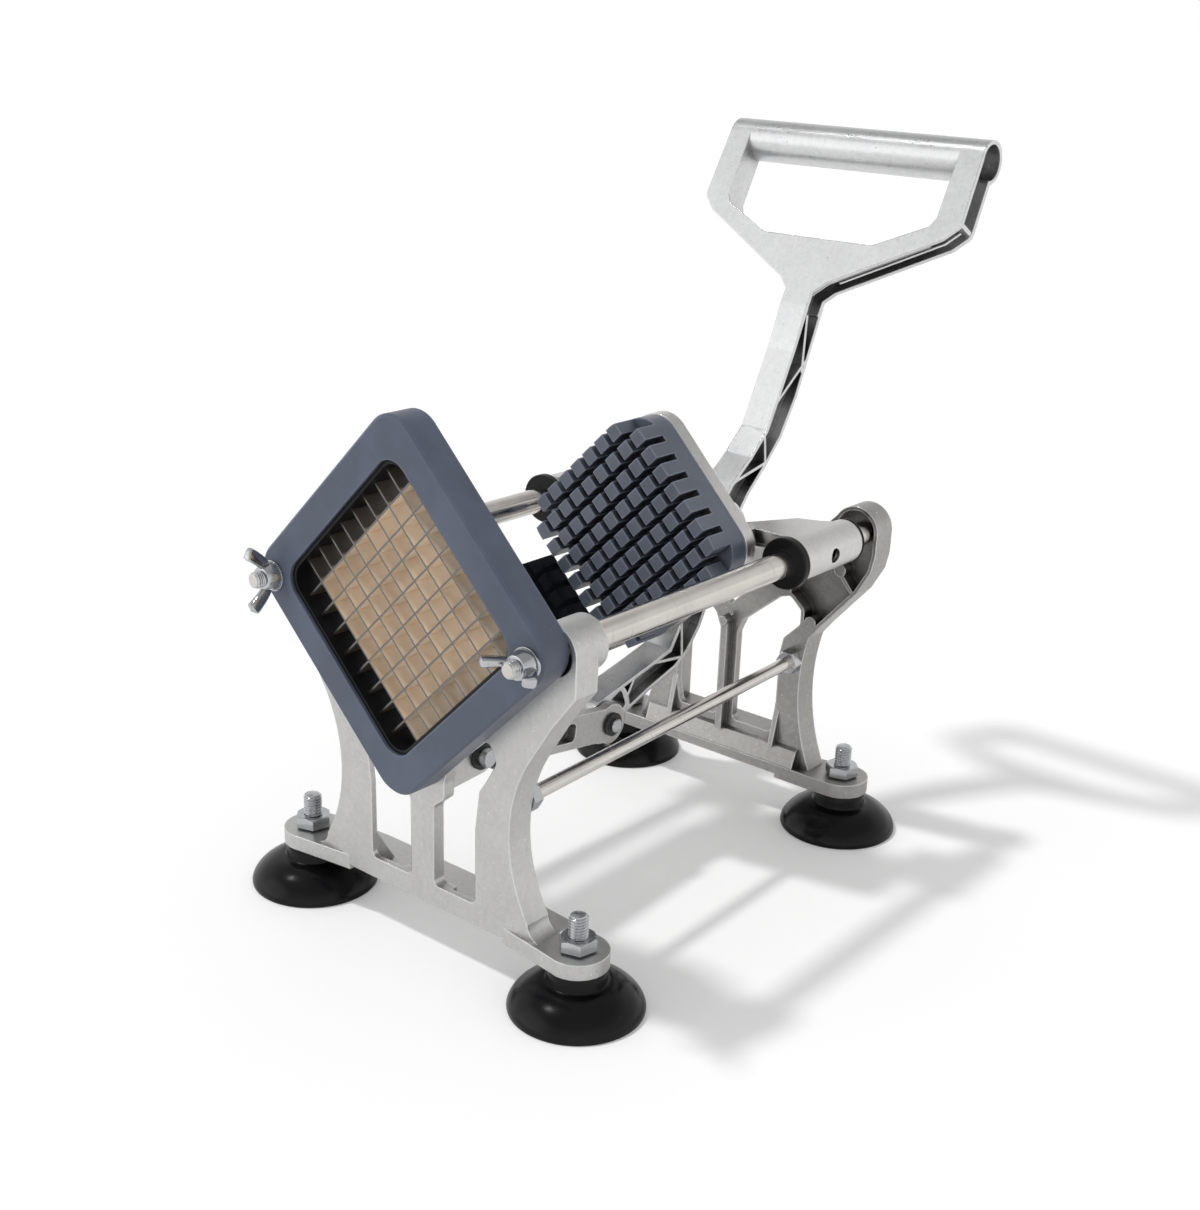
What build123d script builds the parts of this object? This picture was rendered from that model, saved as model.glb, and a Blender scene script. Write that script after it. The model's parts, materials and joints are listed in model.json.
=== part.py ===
from build123d import *
import math
import os

# A hand-operated french fry cutter, in millimetres. X is to the right, Y to the back, Z up.
# In this script Y = 0 is midway between the front and the rear feet. Each piece is moved by
# ORIGIN_Y when it is written, so that the origin is under the middle of the whole cutter.

# ---------------------------------------------------------------- driving dimensions
ORIGIN_Y = 23.8

# feet
FRONT_FOOT_X = 75.0
REAR_FOOT_X = 64.4
FOOT_Y = 101.3
CUP_R = 27.0
CUP_NECK_R = 12.0
CUP_HOLLOW = 5.0
STUD_R = 3.9
STUD_FROM = 11.0
STUD_TOP = 41.0
PAD_BOTTOM = 19.2
PAD_TOP = 26.0
PAD_R = 12.5
PLINTH_BOTTOM = 21.2

# frames
FRONT_WEB = (-109.5, -106.9)
FRONT_POST_BACK = -104.0
FRONT_RIM_BACK = -97.5
FRONT_RIM = 3.2
GUIDE_SEAT = -101.0
FRONT_FLANGE_BACK = -86.0
REAR_WEB = (94.0, 106.5)
REAR_THIN_BACK = 98.0
REAR_FLANGE_FRONT = 88.8
REAR_RIB_FRONT = 89.5
REAR_RIM = 1.7
REAR_RIB = 1.8
FRONT_BOSS_R = 10.6
FRONT_RECESS_R = 8.6
FRONT_RECESS_BACK = -105.0
FRONT_BOSS_BACK = -92.0
REAR_BOSS_SEAT = 101.0

# guide rods and the potato's axis
ROD_X = 66.7
ROD_Z = 146.0
ROD_R = 5.5
ROD_THREAD_R = 3.0
ROD_THREAD_END = -133.5
AXIS_Z = 147.3

# blade frame
BLADE_FRAME = (-123.0, -109.5)
BLADE_FRAME_HALF = 56.0
BLADE_FRAME_CORNER = 13.0
APERTURE_HALF = 43.15
APERTURE_CORNER = 9.0
CARRIER_WALL = 1.6
BLADE_PITCH = 9.0
BLADE_COUNT = 8
BLADE_THICK = 0.8
BLADE_Y = (-118.0, -106.0)
BLADE_HALF_LENGTH = 42.4
NOTCH_THICK = 0.84

# pusher
STUD_ROWS = 9
STUD_GAP = 2.9
STUD_FACE_Y = 9.4
SLOT_BOTTOM_Y = 21.0
BLOCK_BACK_Y = 30.5
BLOCK_HALF = 39.05
BLOCK_CORNER = 13.0
PLATE_BACK_Y = 37.0
SCREW_OFFSET = 21.0

# carriage sleeves
SLEEVE_R = 9.5
SLEEVE_Y = (37.5, 80.0)
BUSH_BORE_R = 5.58
BUSH_BODY_R = 7.4
BUSH_FLANGE_R = 11.0
BUSH_FLANGE = 4.0
REAR_BUSH_FLANGE_R = 9.8
REAR_BUSH_FLANGE = 1.5
BUSH_LENGTH = 14.0
ARM_FRONT = 40.5
ARM_UNDER = 151.5
OIL_HOLE_Y = 59.0

# lever linkage, as (y, z)
PIVOT_A = (-88.0, 82.0)
PIVOT_B = (-7.0, 70.0)
PIVOT_C = (75.0, 141.0)
PIN_A_R = 4.0
PIN_B_R = 3.0
PIN_C_R = 5.0
RUNNING = 0.05
LEVER_HALF = 7.0
LEVER_WEB_HALF = 1.6
LEVER_FLANGE = 1.8
LEVER_RIB = 1.4
EAR_X = (8.6, 12.0)
EAR_R = 8.6
SLOT_ANGLE = 24.0
SLOT_RUN = (-5.6, 12.1)
SLOT_SHIFT = 1.1
SLOT_HALF = 4.6
CLEVIS_X = (8.0, 11.5)
PIN_A_END = 16.6
NUT_FLATS = 13.6
NUT_HEIGHT = 4.8
NUT_WASHER = 0.8
LINK_HALF = 11.5
LINK_TONGUE_HALF = 7.5
FORK_GAP_HALF = 7.4
FORK_ROOT = 15.5

# lever handle
HANDLE_FOOT = (132.0, 240.0)
HANDLE_TILT = 28.6
HANDLE_DEPTH = 14.0
HANDLE_FLANGE = 2.2
GROOVE_DEPTH = 5.8
GRIP_R = 9.5
GRIP_S = 71.5
GRIP_HALF = 67.5

# tie rods
TIE_R = 3.0
TIE_FRONT = (43.0, 77.0)
TIE_REAR = (36.5, 78.3)
TIE_BLIND = 5.0

# potato guide
GUIDE_INNER = 43.6
GUIDE_THICK = 1.8
GUIDE_Y = (GUIDE_SEAT, 15.0)
GUIDE_TOP_X = -43.4
GUIDE_LOW_X = -16.0


# ---------------------------------------------------------------- helpers
def slab(face, y_front, y_back):
    """A face drawn in (x, z), made solid from y_front back to y_back."""
    plane = Plane(origin=(0, y_back, 0), x_dir=(1, 0, 0), z_dir=(0, -1, 0))
    return extrude(plane * face, amount=y_back - y_front, dir=(0, -1, 0))


def side_slab(face, x_low, x_high):
    """A face drawn in (y, z), made solid from x_low to x_high."""
    plane = Plane(origin=(x_low, 0, 0), x_dir=(0, 1, 0), z_dir=(1, 0, 0))
    return extrude(plane * face, amount=x_high - x_low, dir=(1, 0, 0))


def plan_slab(face, z_low, z_high):
    """A face drawn in (x, y), made solid from z_low up to z_high."""
    return extrude(Plane.XY.offset(z_low) * face, amount=z_high - z_low, dir=(0, 0, 1))


def polygon(*points):
    return Polygon(*points, align=None)


def rounded(points, radius):
    """A polygon with every corner rounded."""
    face = polygon(*points)
    return fillet(face.vertices(), radius)


def both_sides(part):
    """A piece and its mirror image across the middle plane, as one."""
    return part + mirror(part, Plane.YZ)


def bar(start, end, radius):
    """A round bar between two points."""
    axis = Vector(*end) - Vector(*start)
    return extrude(Plane(origin=start, z_dir=axis) * Circle(radius), amount=axis.length)


def rod_y(x, z, y_front, y_back, radius):
    return bar((x, y_front, z), (x, y_back, z), radius)


def pin_x(pivot, x_low, x_high, radius):
    return bar((x_low, pivot[0], pivot[1]), (x_high, pivot[0], pivot[1]), radius)


def diamond(half, corner, y_front, y_back):
    """A square standing on its corner about the potato's axis."""
    face = Rot(0, 0, 45) * RectangleRounded(2 * half, 2 * half, corner)
    return slab(Pos(0, AXIS_Z) * face, y_front, y_back)


def hex_prism(across_flats, height):
    """A six-sided prism along Z, its upper corners turned down."""
    corner_r = across_flats / math.sqrt(3)
    prism = extrude(RegularPolygon(corner_r, 6), amount=height)
    crown = revolve(Plane.XZ * polygon(
        (0, -0.1), (corner_r + 1, -0.1), (corner_r + 1, height - 0.6 - 0.58),
        (across_flats / 2 - 0.1, height), (0, height)), Axis.Z)
    return prism & crown


def turned(place, part):
    """A piece made along Z, laid along the Y axis so that its top points to the front."""
    return Pos(*place) * Rot(90, 0, 0) * part


def group(parts):
    """Separate solids kept in one sub-part."""
    solids = []
    for part in parts:
        solids.extend(part.solids())
    return Compound(solids)


# ---------------------------------------------------------------- frames
def foot_pads(foot_x, foot_y, step_x, plinth_y):
    """Two rounded pads for the feet, tapering into the plinth strip between them."""
    pad = Pos(foot_x, foot_y) * Circle(PAD_R)
    pad += polygon(
        (step_x, plinth_y[0]), (foot_x, foot_y - PAD_R), (foot_x, foot_y + PAD_R), (step_x, plinth_y[1]))
    pads = both_sides(plan_slab(pad, PAD_BOTTOM, PAD_TOP))
    middle = (plinth_y[0] + plinth_y[1]) / 2
    strip = Pos(0, middle) * Rectangle(2 * step_x + 4, plinth_y[1] - plinth_y[0])
    return pads + plan_slab(strip, PLINTH_BOTTOM, PAD_TOP)


def stud_holes(foot_x, foot_y):
    hole = Pos(foot_x, foot_y, 0) * Cylinder(STUD_R + 0.1, 100)
    return both_sides(hole)


def tie_path(side):
    """Start and end of a tie rod, a little way inside both legs."""
    front = Vector(side * TIE_FRONT[0], FRONT_RIM_BACK, TIE_FRONT[1])
    rear = Vector(side * TIE_REAR[0], REAR_WEB[0], TIE_REAR[1])
    step = (rear - front).normalized() * TIE_BLIND
    return front - step, rear + step


def tie_rod(side):
    start, end = tie_path(side)
    return bar(tuple(start), tuple(end), TIE_R)


def front_outline():
    """Both legs, flared on to the pads, and the V arms up to the rod bosses."""
    flare = ThreePointArc((62.0, PAD_TOP), (58.2, 27.8), (56.4, 32.0))
    waist = ThreePointArc((56.4, 32.0), (46.4, 64.5), (57.3, 102.0))
    edge_x = ROD_X + FRONT_BOSS_R
    right = Polyline((57.3, 102.0), (66.0, 116.0), (edge_x, 131.0), (edge_x, ROD_Z))
    top = Polyline((edge_x, ROD_Z), (60.0, 152.0), (0, 100.0))
    base = Polyline((0, 100.0), (0, PLINTH_BOTTOM), (57.96, PLINTH_BOTTOM), (62.0, PAD_TOP))
    half = make_face([flare, waist, right, top, base]) + Pos(ROD_X, ROD_Z) * Circle(FRONT_BOSS_R)
    return half + mirror(half, Plane.YZ)


def front_window():
    window = polygon(
        (6.4, 30.5), (29.0, 30.5), (29.0, 64.0), (31.0, 80.0), (35.0, 86.0), (39.8, 94.5),
        (35.5, 103.5), (14.0, 83.5), (12.2, 77.0), (12.2, 70.5), (6.4, 65.5))
    return fillet(window.vertices(), 2.8)


def front_frame():
    """Y-shaped casting: thin web, deep outer rim, thicker post, rod bosses, clevis ears behind."""
    outline = front_outline()
    windows = front_window() + mirror(front_window(), Plane.YZ)
    web = outline - windows
    rim = outline - offset(outline, -FRONT_RIM, kind=Kind.INTERSECTION)
    frame = slab(web, *FRONT_WEB) + slab(rim, FRONT_WEB[0], FRONT_RIM_BACK)
    post = web & (Pos(0, 62.0) * Rectangle(27.0, 78.0))
    frame += slab(post, FRONT_WEB[0], FRONT_POST_BACK)
    seat = Pos(*TIE_FRONT) * Circle(7.0) & outline
    frame += both_sides(slab(seat, FRONT_WEB[0], FRONT_RIM_BACK))
    boss = Pos(ROD_X, ROD_Z) * Circle(FRONT_BOSS_R)
    frame += both_sides(slab(boss, FRONT_WEB[0], FRONT_BOSS_BACK))
    gusset = polygon((FRONT_WEB[1] - 0.5, PAD_TOP - 1), (-97.0, PAD_TOP - 1), (FRONT_WEB[1] - 0.5, 42.0))
    frame += both_sides(side_slab(gusset, 29.0, 31.5))
    ledge = diamond(APERTURE_HALF + 3.0, APERTURE_CORNER, FRONT_WEB[0], FRONT_POST_BACK)
    frame += ledge & slab(outline, FRONT_WEB[0], FRONT_POST_BACK)
    for x, z in guide_screw_spots():
        frame += rod_y(x, z, FRONT_WEB[0] + 0.5, GUIDE_SEAT, 5.0)
    frame += foot_pads(FRONT_FOOT_X, -FOOT_Y, 43.5, (FRONT_WEB[0], FRONT_FLANGE_BACK))
    frame += front_clevis()
    frame -= diamond(APERTURE_HALF, APERTURE_CORNER, -130, -85)
    frame -= stud_holes(FRONT_FOOT_X, -FOOT_Y)
    frame -= both_sides(rod_y(ROD_X, ROD_Z, -120, -80, ROD_THREAD_R + 0.1))
    frame -= both_sides(rod_y(ROD_X, ROD_Z, -120, FRONT_RECESS_BACK, FRONT_RECESS_R))
    frame -= tie_rod(1) + tie_rod(-1)
    for x, z in guide_screw_spots():
        frame -= rod_y(x, z, -107.0, -95, 2.0)
    return frame


def front_clevis():
    """Two ears behind the hub that carry the link's fixed pivot."""
    root = FRONT_POST_BACK - 1
    ear = Pos(*PIVOT_A) * Circle(8.0)
    ear += polygon((root, 73.0), (-88.0, 74.0), (-88.0, 90.0), (root, 92.0))
    ears = both_sides(side_slab(ear, *CLEVIS_X))
    return ears - pin_x(PIVOT_A, -30, 30, PIN_A_R)


def rear_outline():
    """Right half of the rear frame: waisted leg, shoulder and rounded crown round the rod's end."""
    waist = ThreePointArc((50.5, PAD_TOP), (41.4, 62.0), (44.5, 91.0))
    shoulder = Polyline(
        (44.5, 91.0), (49.5, 97.5), (58.0, 107.5), (67.5, 118.5), (73.5, 129.5), (75.0, 137.0), (75.0, 147.0))
    crown = ThreePointArc((75.0, 147.0), (66.5, 157.4), (54.0, 152.0))
    rest = Polyline((54.0, 152.0), (0, 97.0), (0, PLINTH_BOTTOM), (50.5, PLINTH_BOTTOM), (50.5, PAD_TOP))
    return make_face([waist, shoulder, crown, rest])


def rear_window():
    window = polygon(
        (5.0, 39.0), (27.0, 39.0), (29.4, 50.0), (29.4, 80.0), (31.0, 88.0), (39.3, 96.5),
        (39.3, 103.5), (33.0, 109.0), (27.0, 107.0), (8.0, 91.0), (5.0, 84.0))
    return fillet(window.vertices(), 2.4)


def rear_pocket(outline, window):
    """The deep hollow from the rod's end down to the leg's top, crossed by one slanting rib."""
    inside = offset(outline, -REAR_RIM, kind=Kind.INTERSECTION) - offset(window, REAR_RIM)
    reach = polygon(
        (43.0, 97.0), (52.0, 94.0), (90.0, 120.0), (90.0, 170.0), (52.0, 170.0), (33.0, 121.0), (33.0, 108.0))
    rib = Pos(62.0, 121.0) * Rot(0, 0, -48.5) * Rectangle(40, REAR_RIB)
    lug = Pos(57.7, 127.0) * Circle(3.0)
    notch = Pos(44.5, 98.5) * Circle(3.0)
    return slab((inside & reach) - rib - lug - notch, REAR_WEB[0] - 1, REAR_BOSS_SEAT)


def rear_ribs():
    """Forward rib on the middle post with a small lug, two gussets and the sloped foot of the web."""
    inside = REAR_WEB[0] + 0.5
    post = polygon((inside, 33.0), (REAR_RIB_FRONT, 34.0), (REAR_RIB_FRONT, 88.0), (inside, 93.5))
    gusset = polygon((inside, 32.5), (REAR_RIB_FRONT + 0.4, 33.5), (inside, 54.0))
    front = REAR_FLANGE_FRONT + 0.4
    foot = polygon(
        (inside, PAD_TOP - 1), (front, PAD_TOP - 1), (front, PAD_TOP + 0.3), (92.0, 34.0), (inside, 35.5))
    ribs = side_slab(post, -REAR_RIB, REAR_RIB) + both_sides(side_slab(gusset, 29.0, 31.6))
    lug = rod_y(0, 90.0, REAR_RIB_FRONT - 1.5, inside, 2.2)
    return ribs + side_slab(foot, -44.0, 44.0) + lug


def rear_frame():
    """Casting between the rods' rear ends: thin in the middle, deep-rimmed at the legs and bosses."""
    outline = rear_outline()
    window = rear_window()
    frame = slab(outline - window, *REAR_WEB)
    frame = both_sides(frame - rear_pocket(outline, window))
    thin = Pos(0, 84.5) * Rectangle(60.0, 91.0)
    frame -= slab(thin, REAR_THIN_BACK, REAR_WEB[1] + 1)
    frame += foot_pads(REAR_FOOT_X, FOOT_Y, 35.0, (REAR_FLANGE_FRONT, REAR_WEB[1]))
    frame += rear_ribs()
    frame -= stud_holes(REAR_FOOT_X, FOOT_Y)
    frame -= both_sides(rod_y(ROD_X, ROD_Z, 90, 120, ROD_THREAD_R + 0.1))
    frame -= tie_rod(1) + tie_rod(-1)
    return frame


# ---------------------------------------------------------------- feet
def suction_cup():
    """A rubber sucker: plain neck, domed body, shallow hollow underneath."""
    dome = Polyline(
        (CUP_NECK_R, PAD_BOTTOM), (CUP_NECK_R, 13.0), (14.6, 12.8), (19.4, 11.6), (23.2, 9.2), (25.9, 5.6),
        (CUP_R, 1.6), (CUP_R - 0.4, 0))
    hollow = Polyline((CUP_R - 0.4, 0), (CUP_R - 1.8, 0), (20.0, 2.6), (13.0, 4.3), (5.0, CUP_HOLLOW))
    core = Polyline((5.0, CUP_HOLLOW), (0, CUP_HOLLOW), (0, PAD_BOTTOM), (CUP_NECK_R, PAD_BOTTOM))
    cup = revolve(Plane.XZ * make_face([dome, hollow, core]), Axis.Z)
    return cup - Pos(0, 0, STUD_FROM) * Cylinder(STUD_R, 20, align=(Align.CENTER, Align.CENTER, Align.MIN))


def foot_stud():
    stud = extrude(Circle(STUD_R), amount=STUD_TOP - STUD_FROM)
    return Pos(0, 0, STUD_FROM) * chamfer(stud.edges().group_by(Axis.Z)[-1], 0.7)


def washer(outer, inner, thick):
    return extrude(Circle(outer) - Circle(inner), amount=thick)


def foot_washer():
    return Pos(0, 0, PAD_TOP) * washer(NUT_FLATS / 2, STUD_R, NUT_WASHER)


def foot_nut():
    nut = hex_prism(NUT_FLATS, NUT_HEIGHT) - Cylinder(STUD_R, 30)
    return Pos(0, 0, PAD_TOP + NUT_WASHER) * Rot(0, 0, 17) * nut


FEET = {
    "front_left": (-FRONT_FOOT_X, -FOOT_Y),
    "front_right": (FRONT_FOOT_X, -FOOT_Y),
    "rear_left": (-REAR_FOOT_X, FOOT_Y),
    "rear_right": (REAR_FOOT_X, FOOT_Y),
}


def at_feet(part):
    return group([Pos(x, y, 0) * part for x, y in FEET.values()])


# ---------------------------------------------------------------- rods and their fastenings
def guide_rod(side):
    """Ground rod with a stepped front end and a tapped rear end."""
    rod = rod_y(0, 0, FRONT_BOSS_BACK, REAR_BOSS_SEAT, ROD_R)
    rod += rod_y(0, 0, ROD_THREAD_END, FRONT_BOSS_BACK, ROD_THREAD_R)
    rod = chamfer(rod.faces().sort_by(Axis.Y)[0].edges(), 0.6)
    rod -= rod_y(0, 0, REAR_BOSS_SEAT - 14.0, REAR_BOSS_SEAT, ROD_THREAD_R - 0.1)
    return Pos(side * ROD_X, 0, ROD_Z) * rod


def wing_nut(side, turn):
    """Tapered hub with two thick upswept wings."""
    hub = revolve(Plane.XZ * polygon(
        (ROD_THREAD_R, 0), (5.6, 0), (5.6, 1.2), (4.6, 5.4), (ROD_THREAD_R, 5.4)), Axis.Z)
    wing = polygon((3.6, 0.6), (5.8, 0.6), (9.4, 3.2), (13.2, 8.6), (13.6, 11.2), (11.4, 12.8),
                   (8.6, 11.0), (5.6, 6.4), (3.6, 4.6))
    wing = fillet(wing.vertices().filter_by(lambda v: v.X > 5.7), 1.0)
    wing = extrude(Plane.XZ * wing, amount=1.8, both=True)
    wing = chamfer(wing.faces().filter_by(Axis.Y).edges(), 0.5)
    nut = hub + wing + Rot(0, 0, 180) * wing
    nut -= Cylinder(ROD_THREAD_R, 40)
    face_y = BLADE_FRAME[0] - 1.2
    return turned((side * ROD_X, face_y, ROD_Z), Rot(0, 0, turn) * nut)


def wing_nut_washers():
    ring = washer(6.2, ROD_THREAD_R, 1.2)
    return group([turned((side * ROD_X, BLADE_FRAME[0], ROD_Z), ring) for side in (-1, 1)])


def rod_end_screw():
    """Hex screw into the rod's tapped rear end, made with its head towards -Z."""
    screw = Pos(0, 0, -4.0 - 1.2) * Rot(180, 0, 0) * Pos(0, 0, -4.0) * hex_prism(10.0, 4.0)
    return screw + extrude(Circle(ROD_THREAD_R - 0.15), amount=17.0) + Pos(0, 0, -1.2) * extrude(
        Circle(ROD_THREAD_R - 0.15), amount=1.2)


def rod_end_screws():
    return group([turned((side * ROD_X, REAR_WEB[1], ROD_Z), rod_end_screw()) for side in (-1, 1)])


def rod_end_washers():
    ring = Pos(0, 0, -1.2) * washer(7.4, ROD_THREAD_R - 0.15, 1.2)
    return group([turned((side * ROD_X, REAR_WEB[1], ROD_Z), ring) for side in (-1, 1)])


def tie_rod_nuts():
    """Lock nuts against both legs of each tie rod."""
    nuts = []
    for side in (-1, 1):
        start, end = tie_path(side)
        axis = (end - start).normalized()
        nut = hex_prism(10.0, 5.0) - Cylinder(TIE_R, 30)
        for seat, way in ((start + axis * (TIE_BLIND + 0.25), axis), (end - axis * (TIE_BLIND + 0.25), -axis)):
            nuts.append(Plane(origin=tuple(seat), z_dir=tuple(way)) * nut)
    return group(nuts)


# ---------------------------------------------------------------- blades
def blade_frame():
    """Square frame standing on its corner, held by the rods' threaded ends."""
    frame = diamond(BLADE_FRAME_HALF, BLADE_FRAME_CORNER, *BLADE_FRAME)
    rim = frame.faces().sort_by(Axis.Y)[0].edges()
    frame = chamfer(rim, 1.0)
    frame -= diamond(APERTURE_HALF, APERTURE_CORNER, -130, -100)
    return frame - both_sides(rod_y(ROD_X, ROD_Z, -130, -100, ROD_THREAD_R + 0.1))


def blade_offsets():
    first = -(BLADE_COUNT - 1) / 2 * BLADE_PITCH
    return [first + BLADE_PITCH * n for n in range(BLADE_COUNT)]


def blade_strip(offset, slot_y):
    """One strip in the upright square's frame, with half-lap slots from one edge."""
    low, high = BLADE_Y
    strip = Pos(0, (low + high) / 2, offset) * Box(2 * BLADE_HALF_LENGTH, high - low, BLADE_THICK)
    for crossing in blade_offsets():
        middle = (slot_y[0] + slot_y[1]) / 2
        strip -= Pos(crossing, middle, offset) * Box(NOTCH_THICK, slot_y[1] - slot_y[0], 2)
    return strip


def blades(turn, slot_y):
    """A set of parallel strips, turned about the potato's axis."""
    place = Pos(0, 0, AXIS_Z) * Rot(0, turn, 0)
    return group([place * blade_strip(offset, slot_y) for offset in blade_offsets()])


def blades_rising():
    return blades(-45, ((BLADE_Y[0] + BLADE_Y[1]) / 2, BLADE_Y[1] + 1))


def blades_falling():
    return blades(45, (BLADE_Y[0] - 1, (BLADE_Y[0] + BLADE_Y[1]) / 2))


def blade_carrier():
    """Dark ring inside the frame, notched for the strips' ends."""
    outer = APERTURE_HALF - 0.05
    ring = diamond(outer, APERTURE_CORNER, -121.5, -104.5)
    ring -= diamond(outer - CARRIER_WALL, APERTURE_CORNER - CARRIER_WALL, -125, -100)
    notches = []
    middle = (BLADE_Y[0] + BLADE_Y[1]) / 2
    for turn in (-45, 45):
        for offset in blade_offsets():
            notch = Box(2 * BLADE_HALF_LENGTH, BLADE_Y[1] - BLADE_Y[0], NOTCH_THICK)
            notches.append(Pos(0, 0, AXIS_Z) * Rot(0, turn, 0) * Pos(0, middle, offset) * notch)
    return ring - notches


# ---------------------------------------------------------------- carriage
def stud_slots():
    """Slots both ways between the studs, and the four missing corner studs."""
    length = 2 * BLOCK_HALF + 10
    slots = Sketch()
    for place in blade_offsets():
        slots += Pos(place, 0) * Rectangle(STUD_GAP, length)
        slots += Pos(0, place) * Rectangle(length, STUD_GAP)
    corner = (STUD_ROWS - 1) / 2 * BLADE_PITCH
    for x in (-corner, corner):
        for z in (-corner, corner):
            slots += Pos(x, z) * Rectangle(BLADE_PITCH, BLADE_PITCH)
    return slots


def screw_spots():
    return [(x, z) for x in (-SCREW_OFFSET, SCREW_OFFSET) for z in (-SCREW_OFFSET, SCREW_OFFSET)]


def pusher_block():
    block = diamond(BLOCK_HALF, BLOCK_CORNER, STUD_FACE_Y, BLOCK_BACK_Y)
    block -= slab(Pos(0, AXIS_Z) * Rot(0, 0, 45) * stud_slots(), STUD_FACE_Y - 1, SLOT_BOTTOM_Y)
    for x, z in screw_spots():
        block -= rod_y(x, AXIS_Z + z, BLOCK_BACK_Y - 7, BLOCK_BACK_Y + 1, 2.5)
    return block


def pusher_screws():
    """Hex screws through the carriage's plate into the block."""
    screw = extrude(Circle(2.4), amount=12.5) + Rot(180, 0, 0) * hex_prism(8.0, 3.6)
    return group([turned((x, PLATE_BACK_Y, AXIS_Z + z), screw) for x, z in screw_spots()])


def carriage():
    """Plate behind the block, arms out to the sleeves and two ears for the lever."""
    body = diamond(BLOCK_HALF + 0.4, BLOCK_CORNER, BLOCK_BACK_Y, PLATE_BACK_Y)
    body -= Pos(0, 34, 95) * Box(19, 20, 12)
    root = PLATE_BACK_Y - 2
    arm = polygon((30.0, root), (47.0, root), (ROD_X, ARM_FRONT), (ROD_X, 76.0), (52.0, 60.0))
    wing = plan_slab(arm, ROD_Z - 3.5, ROD_Z + 3.5)
    roof = polygon(
        (33.0, root), (45.5, root), (46.5, ARM_FRONT), (ROD_X, ARM_FRONT), (ROD_X, 76.0), (60.0, 70.5),
        (50.7, 66.6))
    wing += plan_slab(roof, ARM_UNDER, ROD_Z + SLEEVE_R)
    front_wall = polygon((46.5, ARM_UNDER), (ROD_X, ARM_UNDER), (ROD_X, 138.0), (56.0, 138.0))
    wing += slab(front_wall, ARM_FRONT, ARM_FRONT + 3.5)
    rib = polygon((36.0, 132.0), (36.0, 153.0), (66.0, 153.0), (66.0, 143.0))
    wing += side_slab(rib, 43.0, 46.5)
    sleeve = rod_y(ROD_X, ROD_Z, SLEEVE_Y[0], SLEEVE_Y[1], SLEEVE_R)
    ear = Pos(*PIVOT_C) * Circle(EAR_R)
    ear += polygon((PLATE_BACK_Y - 1, 122.0), (75.0, 132.4), (75.0, 149.6), (PLATE_BACK_Y - 1, 160.0))
    wing += sleeve + side_slab(ear, *EAR_X)
    body += both_sides(wing)
    sleeve_bore = rod_y(ROD_X, ROD_Z, 30, 90, BUSH_BODY_R)
    front_room = rod_y(ROD_X, ROD_Z, 30, SLEEVE_Y[0], BUSH_FLANGE_R + 0.4)
    oil_hole = bar((ROD_X, OIL_HOLE_Y, ROD_Z), (ROD_X + 20, OIL_HOLE_Y, ROD_Z), 3.2)
    body -= both_sides(sleeve_bore + front_room) + oil_hole
    body -= pin_x(PIVOT_C, -30, 30, PIN_C_R)
    for x, z in screw_spots():
        body -= rod_y(x, AXIS_Z + z, 25, 45, 2.6)
    return body


def bush(front):
    """Flanged bush, its flange outside the sleeve."""
    if front:
        body = rod_y(0, 0, SLEEVE_Y[0], SLEEVE_Y[0] + BUSH_LENGTH, BUSH_BODY_R)
        flange = rod_y(0, 0, SLEEVE_Y[0] - BUSH_FLANGE, SLEEVE_Y[0], BUSH_FLANGE_R)
    else:
        body = rod_y(0, 0, SLEEVE_Y[1] - BUSH_LENGTH, SLEEVE_Y[1], BUSH_BODY_R)
        flange = rod_y(0, 0, SLEEVE_Y[1], SLEEVE_Y[1] + REAR_BUSH_FLANGE, REAR_BUSH_FLANGE_R)
    flange = chamfer(flange.edges().filter_by(GeomType.CIRCLE), 0.4)
    return body + flange - rod_y(0, 0, 0, 120, BUSH_BORE_R)


def bushes(front):
    return group([Pos(side * ROD_X, 0, ROD_Z) * bush(front) for side in (-1, 1)])


def lever_pivot_pin():
    pin = pin_x(PIVOT_C, -EAR_X[1] - 2.4, EAR_X[1], PIN_C_R)
    return pin + pin_x(PIVOT_C, EAR_X[1], EAR_X[1] + 2.0, 6.6)


def lever_pivot_rings():
    ring = pin_x(PIVOT_C, -EAR_X[1] - 1.2, -EAR_X[1], 6.8)
    return group([ring - pin_x(PIVOT_C, -20, -10, PIN_C_R)])


# ---------------------------------------------------------------- lever
FRONT_EDGE = [(132.0, 240.0), (120.5, 214.0), (112.5, 198.0), (103.5, 180.0), (92.0, 169.5), (78.5, 159.5),
              (67.0, 146.0), (46.0, 102.6), (38.5, 91.0), (22.0, 87.0), (-9.5, 80.2)]
REAR_EDGE = [(-8.0, 59.6), (4.5, 68.2), (24.9, 75.2), (43.0, 80.4), (52.0, 86.0), (60.6, 96.2),
             (83.7, 141.0), (92.6, 151.8), (104.5, 162.5), (116.0, 174.5), (126.6, 192.0), (144.3, 233.3)]
SHANK_RIBS = [[(130.0, 225.8), (129.1, 205.8), (107.3, 189.2)], [(102.0, 180.3), (104.3, 164.5), (78.6, 159.5)]]
ARM_RIBS = [[(66.0, 144.0), (67.5, 110.0), (46.2, 102.8), (47.8, 84.6), (22.0, 87.9)],
            [(14.7, 85.7), (4.9, 70.1)]]


def rib(start, end):
    """A straight rib across the lever's side recess, drawn in (y, z)."""
    run = Vector(end[0] - start[0], end[1] - start[1], 0)
    middle = ((start[0] + end[0]) / 2, (start[1] + end[1]) / 2)
    turn = math.degrees(math.atan2(run.Y, run.X))
    return Pos(*middle) * Rot(0, 0, turn) * Rectangle(run.length + 6, LEVER_RIB)


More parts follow.
